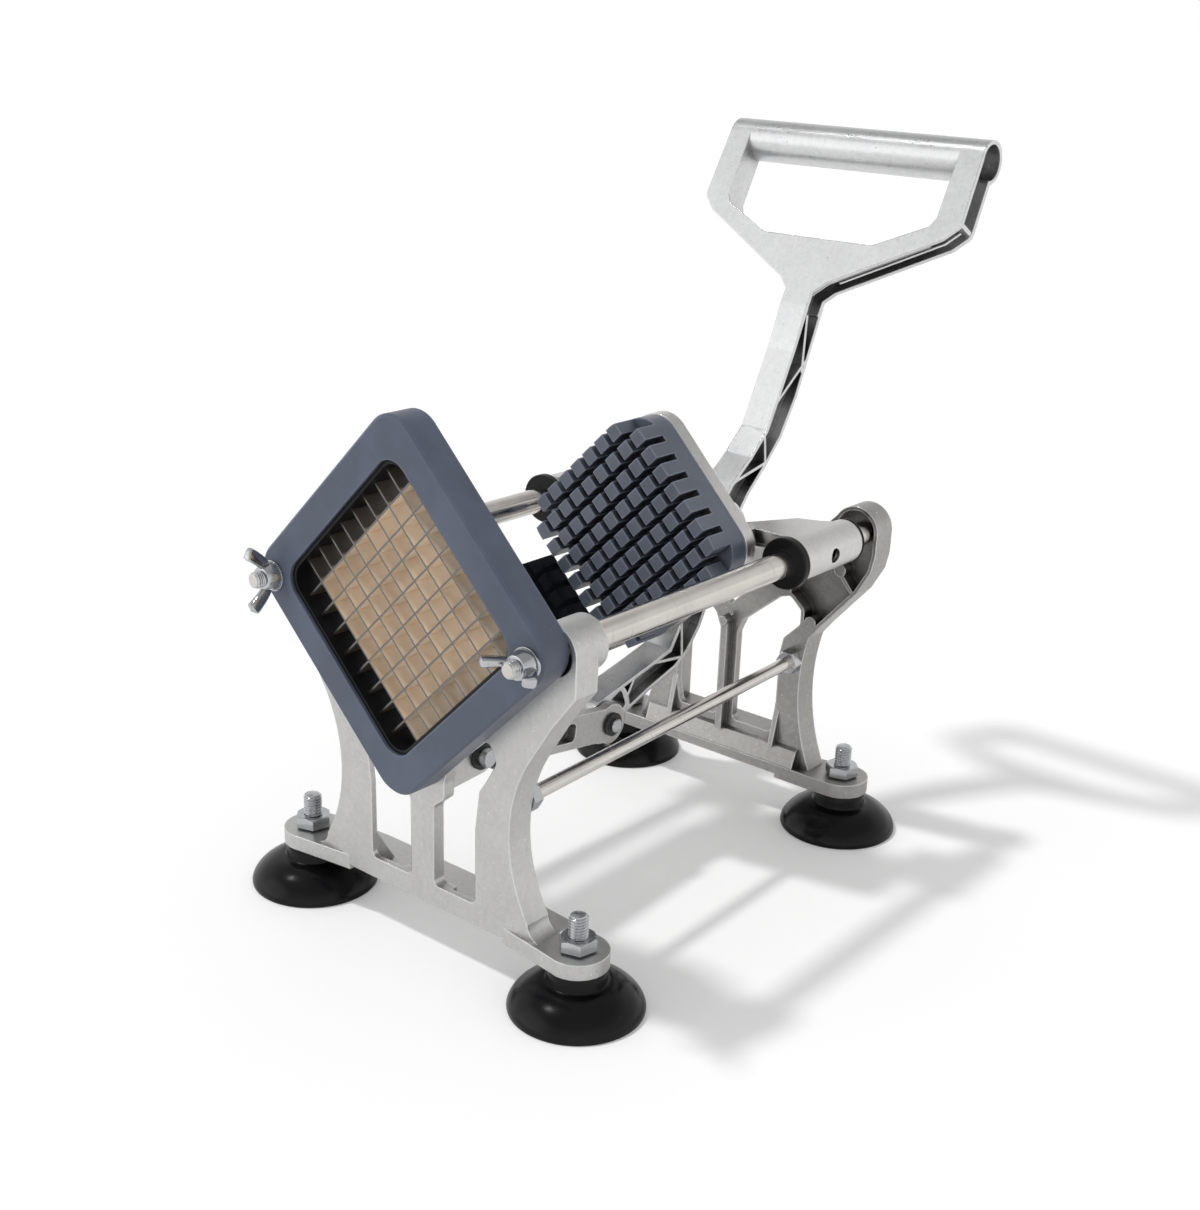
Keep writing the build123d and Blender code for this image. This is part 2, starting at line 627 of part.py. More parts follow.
def lever_arm():
    """Shank and lower arm: two edge flanges, a middle web and a zigzag of ribs on each side."""
    arm = polygon(*(FRONT_EDGE + REAR_EDGE))
    round_end = Pos(*PIVOT_B) * Circle(10.5)
    boss = Pos(*PIVOT_C) * Circle(11.0)
    outline = arm + round_end
    recess = offset(arm, -LEVER_FLANGE, kind=Kind.INTERSECTION) - Pos(*PIVOT_B) * Circle(18.0)
    for zigzag in SHANK_RIBS + ARM_RIBS:
        for start, end in zip(zigzag, zigzag[1:]):
            recess -= rib(start, end)
    solid = side_slab(outline, -LEVER_HALF, LEVER_HALF)
    pocket = side_slab(recess, LEVER_WEB_HALF, LEVER_HALF + 1)
    solid -= both_sides(pocket)
    return solid + side_slab(boss, -8.3, 8.3)


def handle_plane(depth):
    """Plane of the handle's front face, moved back by depth."""
    tilt = math.radians(HANDLE_TILT)
    y = HANDLE_FOOT[0] + depth * math.cos(tilt)
    z = HANDLE_FOOT[1] - depth * math.sin(tilt)
    return Plane(origin=(0, y, z), x_dir=(1, 0, 0), z_dir=(0, -math.cos(tilt), math.sin(tilt)))


def handle_outline():
    """The D-shaped frame's outer edge, drawn in its own plane."""
    right = polygon((0, -8.0), (7.0, -8.0), (7.0, -1.0), (12.0, 4.0), (62.0, 31.0), (68.8, 38.0),
                    (GRIP_HALF, GRIP_S), (0, GRIP_S))
    right = fillet(right.vertices().filter_by(lambda v: 60 < v.X and v.Y < 60), 4.0)
    return right + mirror(right, Plane.YZ)


def handle():
    """D-shaped frame with a round grip across the top."""
    hole = polygon((-56.0, GRIP_S), (-56.0, 40.0), (-54.0, 36.0), (-29.0, 24.0),
                   (29.0, 24.0), (54.0, 36.0), (56.0, 40.0), (56.0, GRIP_S))
    hole = fillet(hole.vertices().filter_by(lambda v: v.Y < 60), 2.5)
    back = handle_plane(HANDLE_DEPTH)
    frame = extrude(back * (handle_outline() - hole), amount=HANDLE_DEPTH, dir=back.z_dir)
    centre = handle_plane(GRIP_R).from_local_coords((0, GRIP_S, 0))
    grip = bar((-GRIP_HALF, centre.Y, centre.Z), (GRIP_HALF, centre.Y, centre.Z), GRIP_R)
    return frame + grip


def handle_groove():
    """The channel round the frame's rim, and the hollow ends of the grip that it runs into."""
    outer = handle_outline()
    core = offset(outer, -GROOVE_DEPTH, kind=Kind.INTERSECTION)
    core += Pos(0, -15) * Rectangle(2 * LEVER_WEB_HALF, 60) + Pos(0, GRIP_S) * Rectangle(2 * GRIP_HALF - 19, 20)
    rim = Pos(0, (GRIP_S - 8) / 2) * Rectangle(180, GRIP_S + 8) - core
    floor = handle_plane(HANDLE_DEPTH - HANDLE_FLANGE)
    groove = extrude(floor * rim, amount=HANDLE_DEPTH - 2 * HANDLE_FLANGE, dir=floor.z_dir)
    centre = handle_plane(GRIP_R).from_local_coords((0, GRIP_S, 0))
    hollow = bar((GRIP_HALF - 9.5, centre.Y, centre.Z), (GRIP_HALF + 5, centre.Y, centre.Z), GRIP_R - 1.8)
    return groove + both_sides(hollow)


def handle_fin():
    """Thin fin inside the channel along the frame's lower edges."""
    outer = handle_outline()
    band = offset(outer, -1.4, kind=Kind.INTERSECTION)
    band -= offset(outer, -GROOVE_DEPTH - 1, kind=Kind.INTERSECTION)
    band = band & (Pos(0, 14) * Rectangle(180, 30))
    floor = handle_plane(HANDLE_DEPTH * 0.4)
    return extrude(floor * band, amount=0.9, dir=floor.z_dir)


def lever():
    body = lever_arm() + handle() - handle_groove() + handle_fin()
    body -= pin_x(PIVOT_C, -30, 30, PIN_C_R + RUNNING)
    run = SLOT_RUN[1] - SLOT_RUN[0]
    slot = RectangleRounded(run + 6.4, 2 * SLOT_HALF, 2.0)
    slot = Pos(*PIVOT_B) * Rot(0, 0, SLOT_ANGLE) * Pos((SLOT_RUN[0] + SLOT_RUN[1]) / 2, SLOT_SHIFT) * slot
    return body - side_slab(slot, -20, 20)


# ---------------------------------------------------------------- link
def link():
    """Bar from the front frame to the lever: a tongue at one end and a fork at the other."""
    run = Vector(PIVOT_B[0] - PIVOT_A[0], PIVOT_B[1] - PIVOT_A[1], 0)
    turn = math.degrees(math.atan2(run.Y, run.X))
    length = run.length
    shape = Pos(length / 2, 0) * Rectangle(length, 15.0) + Circle(8.5) + Pos(length, 0) * Circle(9.0)
    place = Pos(*PIVOT_A) * Rot(0, 0, turn)
    body = side_slab(place * shape, -LINK_HALF, LINK_HALF)
    tongue_room = side_slab(place * Circle(11.0), LINK_TONGUE_HALF, LINK_HALF + 1)
    body -= both_sides(tongue_room)
    fork = Pos(length + 15 - FORK_ROOT, 0) * Rectangle(30, 30)
    body -= side_slab(place * fork, -FORK_GAP_HALF, FORK_GAP_HALF)
    side_recess = Pos((length - 6) / 2, 0) * RectangleRounded(length - 42, 8.0, 2.5)
    body -= both_sides(side_slab(place * side_recess, LINK_HALF - 4.5, LINK_HALF + 1))
    body -= pin_x(PIVOT_A, -30, 30, PIN_A_R + RUNNING)
    return body - pin_x(PIVOT_B, -30, 30, PIN_B_R)


def link_pivot_pin():
    pin = pin_x(PIVOT_A, -PIN_A_END, PIN_A_END, PIN_A_R)
    return chamfer(pin.edges().filter_by(GeomType.CIRCLE), 0.5)


def link_pivot_rings():
    """Retaining rings outside the clevis ears."""
    ring = pin_x(PIVOT_A, CLEVIS_X[1], CLEVIS_X[1] + 1.2, 5.8) - pin_x(PIVOT_A, 0, 20, PIN_A_R)
    return group([ring, mirror(ring, Plane.YZ)])


def link_end_pin():
    pin = pin_x(PIVOT_B, -15.0, 15.0, PIN_B_R)
    return chamfer(pin.edges().filter_by(GeomType.CIRCLE), 0.5)


def link_end_rings():
    """Retaining rings at both ends of the pin."""
    hole = pin_x(PIVOT_B, -20, 20, PIN_B_R)
    ring = pin_x(PIVOT_B, LINK_HALF, LINK_HALF + 1.4, 5.2) - hole
    return group([ring, mirror(ring, Plane.YZ)])


# ---------------------------------------------------------------- potato guide
def guide_point(x, distance):
    """A point below left of the axis: x where it meets the inner wall, and its distance out."""
    out = (distance - GUIDE_INNER) / math.sqrt(2)
    return (x - out, AXIS_Z - GUIDE_INNER * math.sqrt(2) - x - out)


def potato_guide():
    """Black tray wall below the pusher's path, screwed to the front frame's left arm."""
    outside = GUIDE_INNER + GUIDE_THICK
    wall = polygon(
        guide_point(GUIDE_TOP_X, GUIDE_INNER), guide_point(GUIDE_LOW_X, GUIDE_INNER),
        guide_point(GUIDE_LOW_X, outside), guide_point(GUIDE_TOP_X, outside))
    tab = polygon(
        guide_point(GUIDE_TOP_X, GUIDE_INNER), guide_point(GUIDE_LOW_X, GUIDE_INNER),
        guide_point(GUIDE_LOW_X, 54.0), guide_point(GUIDE_TOP_X, 54.0))
    guide = slab(wall, *GUIDE_Y) + slab(tab, GUIDE_Y[0], GUIDE_Y[0] + GUIDE_THICK)
    for x, z in guide_screw_spots():
        guide -= rod_y(x, z, -105, -95, 2.1)
    return guide


def guide_screw_spots():
    return [guide_point(-37.0, 49.5), guide_point(-22.5, 49.5)]


def guide_screws():
    screw = extrude(Circle(2.0), amount=7.0) + Rot(180, 0, 0) * extrude(Circle(3.4), amount=2.2)
    back = GUIDE_Y[0] + GUIDE_THICK
    return group([turned((x, back, z), screw) for x, z in guide_screw_spots()])


# ---------------------------------------------------------------- all sub-parts
def sub_parts():
    nodes = {
        "front_frame": front_frame(),
        "rear_frame": rear_frame(),
        "guide_rod_left": guide_rod(-1),
        "guide_rod_right": guide_rod(1),
        "wing_nut_left": wing_nut(-1, 78),
        "wing_nut_right": wing_nut(1, 28),
        "wing_nut_washers": wing_nut_washers(),
        "rod_end_screws": rod_end_screws(),
        "rod_end_washers": rod_end_washers(),
        "tie_rod_left": tie_rod(-1),
        "tie_rod_right": tie_rod(1),
        "tie_rod_nuts": tie_rod_nuts(),
        "blade_frame": blade_frame(),
        "blade_carrier": blade_carrier(),
        "blades_rising": blades_rising(),
        "blades_falling": blades_falling(),
        "potato_guide": potato_guide(),
        "guide_screws": guide_screws(),
        "foot_studs": at_feet(foot_stud()),
        "foot_washers": at_feet(foot_washer()),
        "foot_nuts": at_feet(foot_nut()),
        "link_pivot_pin": link_pivot_pin(),
        "link_pivot_rings": link_pivot_rings(),
        "carriage": carriage(),
        "pusher_block": pusher_block(),
        "pusher_screws": pusher_screws(),
        "bushes_front": bushes(True),
        "bushes_rear": bushes(False),
        "lever_pivot_pin": lever_pivot_pin(),
        "lever_pivot_rings": lever_pivot_rings(),
        "lever": lever(),
        "link": link(),
        "link_end_pin": link_end_pin(),
        "link_end_rings": link_end_rings(),
    }
    for name, (x, y) in FEET.items():
        nodes["suction_cup_" + name] = Pos(x, y, 0) * suction_cup()
    return nodes


os.makedirs("parts", exist_ok=True)
for node, shape in sub_parts().items():
    export_step(Pos(0, -ORIGIN_Y, 0) * shape, "parts/" + node + ".step")
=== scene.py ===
import json
import math

import bpy
import numpy as np
from mathutils import Matrix, Vector


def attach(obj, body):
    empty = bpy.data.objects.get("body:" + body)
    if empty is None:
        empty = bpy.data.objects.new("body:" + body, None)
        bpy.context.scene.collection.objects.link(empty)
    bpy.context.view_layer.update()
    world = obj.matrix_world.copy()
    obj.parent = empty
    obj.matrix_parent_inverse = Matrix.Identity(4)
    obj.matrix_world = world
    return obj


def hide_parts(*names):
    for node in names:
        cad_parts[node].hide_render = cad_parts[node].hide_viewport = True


# Dressing for a hand-operated french fry cutter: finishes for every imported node, smooth rubber cups,
# cut threads, cast wing nuts, a fairing and small ribs on the lever, a pale floor, the daylight of one
# high window, and the camera. Blender works in metres. Shapes are written in the maker's millimetres,
# and MM turns them into metres. Angles are in degrees unless numpy or math needs radians.

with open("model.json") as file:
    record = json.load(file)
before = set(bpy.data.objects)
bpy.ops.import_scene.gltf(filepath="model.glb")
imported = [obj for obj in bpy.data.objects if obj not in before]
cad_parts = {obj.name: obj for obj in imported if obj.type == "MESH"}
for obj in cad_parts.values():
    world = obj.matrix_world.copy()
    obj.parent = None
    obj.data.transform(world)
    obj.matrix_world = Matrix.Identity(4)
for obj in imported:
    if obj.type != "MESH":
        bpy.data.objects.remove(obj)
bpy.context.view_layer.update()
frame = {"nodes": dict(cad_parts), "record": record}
NODES = frame["nodes"]
MM = 0.001
WHITE = (1, 1, 1, 1)

# ---------------------------------------------------------------- camera
IMAGE_SIZE = (1200, 1210)
LENS_PIXELS = 1659.67
LENS_CENTRE = (632.99, 711.32)
SENSOR_HEIGHT = 36.0
CAMERA_PLACE = (0.42322, -0.54295, 0.35641)
CAMERA_AZIMUTH = 38.01
CAMERA_ELEVATION = 23.09
CAMERA_ROLL = -2.43
CAMERA_NEAR, CAMERA_FAR = 0.02, 400


def make_camera():
    """A camera turned by azimuth, elevation and roll, its lens given by a focal length in pixels."""
    azimuth, elevation = math.radians(CAMERA_AZIMUTH), math.radians(CAMERA_ELEVATION)
    back = Vector((math.sin(azimuth) * math.cos(elevation), -math.cos(azimuth) * math.cos(elevation),
                   math.sin(elevation)))
    right = back.cross(Vector((0, 0, -1))).normalized()
    up = back.cross(right)
    turn = Matrix.Rotation(math.radians(CAMERA_ROLL), 3, -back)
    right, up = turn @ right, turn @ up
    axes = Matrix((right, up, back)).transposed().to_4x4()
    lens = bpy.data.cameras.new("camera")
    lens.sensor_fit = "VERTICAL"
    lens.sensor_height = SENSOR_HEIGHT
    lens.lens = LENS_PIXELS / IMAGE_SIZE[1] * SENSOR_HEIGHT
    lens.shift_x = (IMAGE_SIZE[0] / 2 - LENS_CENTRE[0]) / IMAGE_SIZE[1]
    lens.shift_y = (LENS_CENTRE[1] - IMAGE_SIZE[1] / 2) / IMAGE_SIZE[1]
    lens.clip_start = CAMERA_NEAR
    lens.clip_end = CAMERA_FAR
    camera = bpy.data.objects.new("camera", lens)
    camera.matrix_world = Matrix.Translation(CAMERA_PLACE) @ axes
    bpy.context.scene.collection.objects.link(camera)
    bpy.context.scene.camera = camera


# ---------------------------------------------------------------- building node trees
class Tree:
    """Adds nodes to one node tree. An input given as a socket is linked, any other is set."""

    def __init__(self, tree):
        self.tree = tree

    def link(self, value, socket):
        self.tree.links.new(value, socket)

    def add(self, kind, inputs=None, **settings):
        node = self.tree.nodes.new(kind)
        for name, value in settings.items():
            setattr(node, name, value)
        for key, value in (inputs or {}).items():
            if isinstance(value, bpy.types.NodeSocket):
                self.link(value, node.inputs[key])
            else:
                node.inputs[key].default_value = value
        return node

    def effect(self, group, **inputs):
        """Places a shared effect group with its own values, and gives the group's outputs."""
        return self.add("ShaderNodeGroup", inputs, node_tree=group).outputs

    def math(self, operation, a, b=0.0, clamp=False):
        return self.add("ShaderNodeMath", {0: a, 1: b}, operation=operation, use_clamp=clamp).outputs[0]

    def plus(self, a, b, clamp=False):
        return self.math("ADD", a, b, clamp)

    def minus(self, a, b, clamp=False):
        return self.math("SUBTRACT", a, b, clamp)

    def times(self, a, b):
        return self.math("MULTIPLY", a, b)

    def dot(self, a, b):
        return self.add("ShaderNodeVectorMath", {0: a, 1: b}, operation="DOT_PRODUCT").outputs["Value"]

    def ramp(self, value, low, high, to_low=0.0, to_high=1.0):
        """A smooth step from to_low to to_high as value goes from low to high."""
        limits = {"Value": value, "From Min": low, "From Max": high, "To Min": to_low, "To Max": to_high}
        return self.add("ShaderNodeMapRange", limits, interpolation_type="SMOOTHSTEP").outputs[0]

    def mix(self, share, a, b):
        """From colour a to colour b by a share; both are sockets or plain red, green and blue."""
        node = self.add("ShaderNodeMix", {0: share}, data_type="RGBA", blend_type="MIX")
        for index, colour in ((6, a), (7, b)):
            if isinstance(colour, bpy.types.NodeSocket):
                self.link(colour, node.inputs[index])
            else:
                node.inputs[index].default_value = (*colour, 1)
        return node.outputs[2]

    def coat(self, under, mask, share, over):
        """Lays one colour over another where a mask is set, by a share of that mask."""
        return self.mix(self.times(mask, share), under, over)

    def noise(self, place, scale, detail=2.0, rough=0.5):
        settings = {"Vector": place, "Scale": scale, "Detail": detail, "Roughness": rough}
        return self.add("ShaderNodeTexNoise", settings).outputs[0]


# ---------------------------------------------------------------- effects that finishes share
FLOAT, VECTOR = "NodeSocketFloat", "NodeSocketVector"
RAYS = 6  # sent out at each point to find edges and recesses
# Noise scales are in waves per metre: 60 gives patches of about 17 mm, 1000 marks of about 1 mm.
PATCHES, BLOTCHES, NICKS, PORES, SMEARS, DUST = 60.0, 420.0, 1000.0, 900.0, 38.0, 1500.0
PATCH_SHARE = 0.4
NICK_RISE, PORE_FALL = 0.5, 0.7  # against the grain's own height of 1


def effect_group(name, inputs, outputs):
    """A shader node group with named float or vector sockets, its tree and its two end nodes."""
    group = bpy.data.node_groups.new(name, "ShaderNodeTree")
    for label, kind in inputs:
        group.interface.new_socket(label, in_out="INPUT", socket_type=kind)
    for label, kind in outputs:
        group.interface.new_socket(label, in_out="OUTPUT", socket_type=kind)
    tree = Tree(group)
    return group, tree, tree.add("NodeGroupInput").outputs, tree.add("NodeGroupOutput").inputs


def rubbed_edge_sheen_and_corner_shade_group():
    """Edge: thin mask on outer edges and thin fins, where rays sent inside soon meet the skin again;
    finishes paint a rubbed, paler edge there, partly wear and partly a painted highlight.
    Recess: mask in corners and slots, where rays sent outside do; finishes paint shade there. Normal:
    edges rounded off."""
    group, t, given, out = effect_group(
        "rubbed_edge_sheen_and_corner_shade", [("Width", FLOAT), ("Reach", FLOAT)],
        [("Edge", FLOAT), ("Recess", FLOAT), ("Normal", VECTOR)])
    bevel = t.add("ShaderNodeBevel", {"Radius": given["Width"]}, samples=RAYS).outputs[0]
    inner = t.add("ShaderNodeAmbientOcclusion", {"Distance": given["Width"]}, samples=RAYS,
                  only_local=True, inside=True).outputs["AO"]
    outer = t.add("ShaderNodeAmbientOcclusion", {"Distance": given["Reach"]}, samples=RAYS,
                  only_local=True).outputs["AO"]
    t.link(t.ramp(inner, low=0.95, high=0.62), out["Edge"])
    t.link(t.ramp(outer, low=0.85, high=0.3), out["Recess"])
    t.link(bevel, out["Normal"])
    return group


def casting_skin_group():
    """Tumbled cast metal. Blotch: uneven tone over millimetres. Speckle: small bright nicks.
    Pit: small dark pores. Height: fine grain with those nicks and pores in it."""
    group, t, given, out = effect_group(
        "casting_skin", [("Vector", VECTOR), ("Grain", FLOAT)],
        [("Blotch", FLOAT), ("Speckle", FLOAT), ("Pit", FLOAT), ("Height", FLOAT)])
    place = given["Vector"]
    patches = t.noise(place, PATCHES, detail=3.0, rough=0.6)
    blotches = t.noise(place, BLOTCHES, detail=3.0, rough=0.7)
    tone = t.plus(t.times(patches, PATCH_SHARE), t.times(blotches, 1 - PATCH_SHARE))
    t.link(t.ramp(tone, low=0.34, high=0.66), out["Blotch"])
    nick = t.ramp(t.noise(place, NICKS, detail=1.0), low=0.68, high=0.76)
    pore = t.ramp(t.noise(place, PORES, detail=1.0), low=0.3, high=0.22)
    t.link(nick, out["Speckle"])
    t.link(pore, out["Pit"])
    grain = t.noise(place, given["Grain"], detail=3.0, rough=0.6)
    height = t.minus(t.plus(grain, t.times(nick, NICK_RISE)), t.times(pore, PORE_FALL))
    t.link(height, out["Height"])
    return group


def handling_group():
    """Smear: broad soft patches. Scratch: sparse fine lines, long where Stretch, in waves per metre
    along X, Y and Z, is small. Dust: rare small specks."""
    group, t, given, out = effect_group(
        "handling_marks", [("Vector", VECTOR), ("Stretch", VECTOR)],
        [("Smear", FLOAT), ("Scratch", FLOAT), ("Dust", FLOAT)])
    place = given["Vector"]
    smear = t.noise(place, SMEARS, detail=3.0, rough=0.6)
    t.link(t.ramp(smear, low=0.35, high=0.65), out["Smear"])
    drawn = t.add("ShaderNodeVectorMath", {0: place, 1: given["Stretch"]}, operation="MULTIPLY")
    scratch = t.noise(drawn.outputs[0], scale=1.0)
    t.link(t.ramp(scratch, low=0.62, high=0.72), out["Scratch"])
    dust = t.noise(place, DUST, detail=0.0)
    t.link(t.ramp(dust, low=0.82, high=0.88), out["Dust"])
    return group


RUBBED_EDGE_SHEEN_AND_CORNER_SHADE = rubbed_edge_sheen_and_corner_shade_group()
CASTING_SKIN = casting_skin_group()
HANDLING = handling_group()


# ---------------------------------------------------------------- finishes
NICK_COLOUR = (0.82, 0.81, 0.79)
PORE_COLOUR = (0.22, 0.215, 0.21)
# Paler rubbed edges, partly wear and partly a painted highlight, and the painted shade of corners and
# slots.
CAST_RUBBED_EDGE_SHEEN = (0.85, 0.85, 0.84)
TURNED_RUBBED_EDGE_SHEEN = (0.9, 0.9, 0.9)
TURNED_CORNER_SHADE = (0.04, 0.04, 0.042)

# Waves per metre along X, Y and Z of the fine lines that handling or grinding leaves.
PLASTIC_LINES = (300.0, 300.0, 2500.0)
BLADE_LINES = (900.0, 5000.0, 900.0)
RUBBER_LINES = (120.0, 120.0, 3000.0)
SATIN_GRAIN, RUBBER_GRAIN = 2600.0, 900.0

BLADE_SIDES = (0.78, 0.65, 0.51), (0.9, 0.77, 0.62)
BLADE_SCRATCH = (0.5, 0.4, 0.3)
# painted shade on the strips' sides in the two left-hand margins
BLADE_SHADED_MARGIN = (0.05, 0.043, 0.036)
BLADE_EDGE = (0.19, 0.185, 0.18)
GRID_HEIGHT = 147.3 * MM  # the middle of the blade grid above the bench
GRID_EDGE = 31.6 * MM  # from the middle of the grid to its outermost strips
MARGIN_FADE, MARGIN_SHADE_SHARE = 2 * MM, 0.92
SIDE_METALLIC = 0.3

RUBBER_TONES = (0.0025, 0.0025, 0.003), (0.0045, 0.0045, 0.005)
RUBBER_DUST = (0.05, 0.05, 0.05)


def scaled(colour, factor, lift=0.0):
    """A lighter or darker version of a colour."""
    return tuple(factor * c + lift for c in colour)


def new_finish(name, metallic, specular=0.5):
    """A material with its tree, its Principled surface and the object's own coordinates."""
    material = bpy.data.materials.new(name)
    material.use_nodes = True
    t = Tree(material.node_tree)
    surface = material.node_tree.nodes["Principled BSDF"]
    surface.inputs["Metallic"].default_value = metallic
    surface.inputs["Specular IOR Level"].default_value = specular
    place = t.add("ShaderNodeTexCoord").outputs["Object"]
    return material, t, surface, place


def relief(t, surface, height, strength, distance, normal=None):
    """Feeds a height through a Bump node to the surface's Normal."""
    inputs = {"Height": height, "Strength": strength, "Distance": distance}
    if normal:
        inputs["Normal"] = normal
    t.link(t.add("ShaderNodeBump", inputs).outputs[0], surface.inputs["Normal"])


def cast_metal(name, dark, light, rough, grain=1500.0, bump=0.3, recess_shade=(0.1, 0.098, 0.095),
               reach=7 * MM, recess_shade_share=0.75):
    """Tumbled aluminium casting: blotched and nicked, its rubbed edges paler by a painted highlight, and
    painted shade in its corners.
    """
    material, t, surface, place = new_finish(name, 1.0)
    rubbed_sheen_and_shade = t.effect(RUBBED_EDGE_SHEEN_AND_CORNER_SHADE, Width=0.7 * MM, Reach=reach)
    skin = t.effect(CASTING_SKIN, Vector=place, Grain=grain)
    colour = t.mix(skin["Blotch"], dark, light)
    colour = t.coat(colour, skin["Speckle"], share=0.6, over=NICK_COLOUR)
    colour = t.coat(colour, skin["Pit"], share=0.4, over=PORE_COLOUR)
    # painted shade: corners and slots darkened towards the recess colour
    colour = t.coat(colour, rubbed_sheen_and_shade["Recess"], share=recess_shade_share, over=recess_shade)
    # rubbed edges made paler, partly wear and partly a painted highlight
    colour = t.coat(colour, rubbed_sheen_and_shade["Edge"], share=0.6, over=CAST_RUBBED_EDGE_SHEEN)
    t.link(colour, surface.inputs["Base Color"])
    roughness = t.plus(t.times(skin["Blotch"], 0.07), rough)
    roughness = t.minus(roughness, t.times(rubbed_sheen_and_shade["Edge"], 0.15), clamp=True)
    t.link(roughness, surface.inputs["Roughness"])
    relief(t, surface, skin["Height"], strength=bump, distance=0.25 * MM, normal=rubbed_sheen_and_shade["Normal"])
    return material


def turned_metal(name, colour, rough, stretch):
    """Ground or plated metal: faint smears, fine lines along the work, crisp rubbed edges paler by a
    painted highlight, and painted shade in its recesses.
    """
    material, t, surface, place = new_finish(name, 1.0)
    rubbed_sheen_and_shade = t.effect(RUBBED_EDGE_SHEEN_AND_CORNER_SHADE, Width=0.22 * MM, Reach=2.5 * MM)
    marks = t.effect(HANDLING, Vector=place, Stretch=stretch)
    shade = t.mix(marks["Smear"], scaled(colour, 0.9), colour)
    shade = t.coat(shade, marks["Scratch"], share=0.35, over=scaled(colour, 0.6))
    # painted shade: recesses darkened nearly to black
    shade = t.coat(shade, rubbed_sheen_and_shade["Recess"], share=0.8, over=TURNED_CORNER_SHADE)
    # crisp edges made paler, partly wear and partly a painted highlight
    shade = t.coat(shade, rubbed_sheen_and_shade["Edge"], share=0.4, over=TURNED_RUBBED_EDGE_SHEEN)
    t.link(shade, surface.inputs["Base Color"])
    roughness = t.plus(t.times(marks["Smear"], 0.08), rough)
    roughness = t.plus(roughness, t.times(marks["Scratch"], 0.15), clamp=True)
    t.link(roughness, surface.inputs["Roughness"])
    relief(t, surface, marks["Scratch"], strength=0.15, distance=0.05 * MM, normal=rubbed_sheen_and_shade["Normal"])
    return material


def moulded_plastic(name, colour, rubbed_edge_sheen_colour, rough, edge=0.8 * MM, rubbed_edge_sheen_share=0.5, reach=5 * MM,
                    recess_shade_share=0.7, specular=0.5):
    """Moulded plastic: fine satin texture, rubbed edges paler by a painted highlight, painted shade in
    corners and slots, smears in the gloss and rare dust.
    """
    material, t, surface, place = new_finish(name, 0.0, specular)
    rubbed_sheen_and_shade = t.effect(RUBBED_EDGE_SHEEN_AND_CORNER_SHADE, Width=edge, Reach=reach)
    marks = t.effect(HANDLING, Vector=place, Stretch=PLASTIC_LINES)
    shade = t.mix(marks["Smear"], scaled(colour, 0.88), scaled(colour, 1.08))
    # painted shade: corners and slots darkened towards a much darker copy of the colour
    shade = t.coat(shade, rubbed_sheen_and_shade["Recess"], share=recess_shade_share, over=scaled(colour, 0.15))
    # rubbed edges made paler, partly wear and partly a painted highlight
    shade = t.coat(shade, rubbed_sheen_and_shade["Edge"], share=rubbed_edge_sheen_share, over=rubbed_edge_sheen_colour)
    shade = t.coat(shade, marks["Dust"], share=0.35, over=scaled(colour, 3, lift=0.02))
    t.link(shade, surface.inputs["Base Color"])
    roughness = t.plus(t.times(marks["Smear"], 0.1), rough)
    roughness = t.plus(roughness, t.times(marks["Scratch"], 0.12), clamp=True)
    t.link(roughness, surface.inputs["Roughness"])
    relief(t, surface, t.noise(place, SATIN_GRAIN), strength=0.08, distance=0.1 * MM,
           normal=rubbed_sheen_and_shade["Normal"])
    return material


def blade_metal():
    """Thin ground strips: grey bare metal on their front edges, warm and half matt on their broad sides,
    which have painted shade in the two left-hand margins, where they run from the outermost strip to the
    carrier.
    A margin is where the distance from the grid's middle, square to the strips, is past the last one."""
    material, t, surface, place = new_finish("blade_steel", 1.0)
    normal = t.add("ShaderNodeNewGeometry").outputs["Normal"]
    front = t.ramp(t.math("ABSOLUTE", t.dot(normal, (0.0, 1.0, 0.0))), low=0.6, high=0.8)
    marks = t.effect(HANDLING, Vector=place, Stretch=BLADE_LINES)
    side = t.mix(marks["Smear"], *BLADE_SIDES)
    side = t.coat(side, marks["Scratch"], share=0.3, over=BLADE_SCRATCH)
    slope = math.sqrt(0.5)
    upper_left = t.minus(t.dot(place, (-slope, 0.0, slope)), slope * GRID_HEIGHT)
    lower_left = t.plus(t.dot(place, (-slope, 0.0, -slope)), slope * GRID_HEIGHT)
    past = t.math("MAXIMUM", upper_left, lower_left)
    # painted shade: the strips' sides darken past the outermost strip towards the carrier
    margin = t.ramp(past, GRID_EDGE, GRID_EDGE + MARGIN_FADE, to_high=MARGIN_SHADE_SHARE)
    side = t.mix(margin, side, BLADE_SHADED_MARGIN)
    t.link(t.ramp(front, 0.0, 1.0, to_low=SIDE_METALLIC), surface.inputs["Metallic"])
    t.link(t.mix(front, side, BLADE_EDGE), surface.inputs["Base Color"])
    t.link(t.plus(t.times(marks["Smear"], 0.12), 0.3), surface.inputs["Roughness"])
    relief(t, surface, marks["Scratch"], strength=0.1, distance=0.05 * MM)
    return material


def cup_rubber():
    """Black satin rubber: soft broad smears, a faint uneven skin and a little dust."""
    material, t, surface, place = new_finish("cup_rubber", 0.0, specular=0.22)
    marks = t.effect(HANDLING, Vector=place, Stretch=RUBBER_LINES)
    shade = t.mix(marks["Smear"], *RUBBER_TONES)
    shade = t.coat(shade, marks["Dust"], share=0.5, over=RUBBER_DUST)
    t.link(shade, surface.inputs["Base Color"])
    t.link(t.plus(t.times(marks["Smear"], 0.06), 0.19), surface.inputs["Roughness"])
    relief(t, surface, t.noise(place, RUBBER_GRAIN, detail=3.0), strength=0.06, distance=0.1 * MM)
    return material


